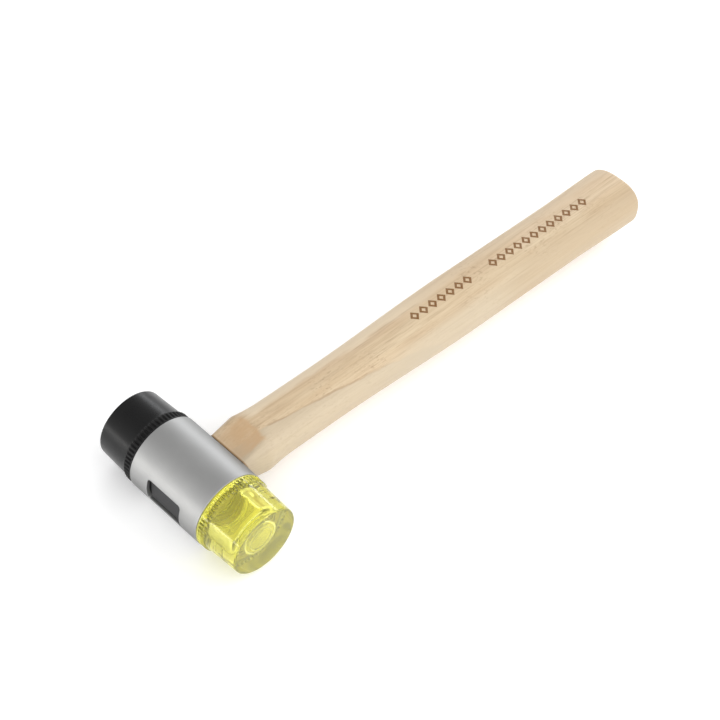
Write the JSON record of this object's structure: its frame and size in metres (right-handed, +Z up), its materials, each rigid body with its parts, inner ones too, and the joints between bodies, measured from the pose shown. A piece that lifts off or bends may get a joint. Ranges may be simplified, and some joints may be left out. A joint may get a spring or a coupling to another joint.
{
  "type": "dead blow mallet",
  "caption": "Short-handled mallet with a tubular steel head, screw-on rubber and clear plastic faces, loose shot in side chambers and an oval wooden handle.",
  "frame": {"origin": "on the surface the mallet lies on, under the middle of its bounding box", "axes": "+X along the head towards the clear face, +Y along the handle from the head to the butt, +Z up, with the mallet lying on its side"},
  "size_m": [0.0886, 0.306, 0.038],
  "materials": {
    "wood": "lacquered hickory",
    "wedge_wood": "raw hardwood",
    "wedge_steel": "raw steel",
    "sleeve_steel": "satin",
    "black_plastic": "moulded",
    "pale_nylon": "moulded, natural colour",
    "shot_steel": "polished",
    "washer_fibre": "fibre",
    "black_rubber": "smooth rubber",
    "clear_plastic": "clear yellow"
  },
  "bodies": {
    "head": {"handle": "wood", "handle_wedge": "wedge_wood", "steel_wedges": "wedge_steel", "head_sleeve": "sleeve_steel", "core_block": "black_plastic", "eye_plug": "black_plastic", "rubber_side_socket": "pale_nylon", "clear_side_socket": "pale_nylon"},
    "clear_washer": {"clear_side_washer": "washer_fibre"},
    "clear_face": {"clear_face": "clear_plastic"},
    "rubber_washer": {"rubber_side_washer": "washer_fibre"},
    "rubber_face": {"rubber_face": "black_rubber"},
    "upper_shot": {"upper_shot": "shot_steel"},
    "lower_shot": {"lower_shot": "shot_steel"}
  },
  "joints": [
    {"name": "clear_face_travel", "type": "slide", "parent": "head", "child": "clear_washer", "axis": [1, 0, 0], "range_m": [0, 0.006]},
    {"name": "clear_face_turn", "type": "hinge", "parent": "clear_washer", "child": "clear_face", "pos_m": [0.0443, -0.134, 0.019], "axis": [1, 0, 0], "range_deg": [0, 720]},
    {"name": "rubber_face_travel", "type": "slide", "parent": "head", "child": "rubber_washer", "axis": [-1, 0, 0], "range_m": [0, 0.006]},
    {"name": "rubber_face_turn", "type": "hinge", "parent": "rubber_washer", "child": "rubber_face", "pos_m": [-0.0443, -0.134, 0.019], "axis": [-1, 0, 0], "range_deg": [0, 720]},
    {"name": "upper_shot_travel", "type": "slide", "parent": "head", "child": "upper_shot", "axis": [1, 0, 0], "range_m": [-0.003, 0.003]},
    {"name": "lower_shot_travel", "type": "slide", "parent": "head", "child": "lower_shot", "axis": [1, 0, 0], "range_m": [-0.003, 0.003]}
  ],
  "couplings": [
    {"joint": "clear_face_travel", "follows": "clear_face_turn", "m_per_rad": 0.00047746},
    {"joint": "rubber_face_travel", "follows": "rubber_face_turn", "m_per_rad": 0.00047746}
  ]
}
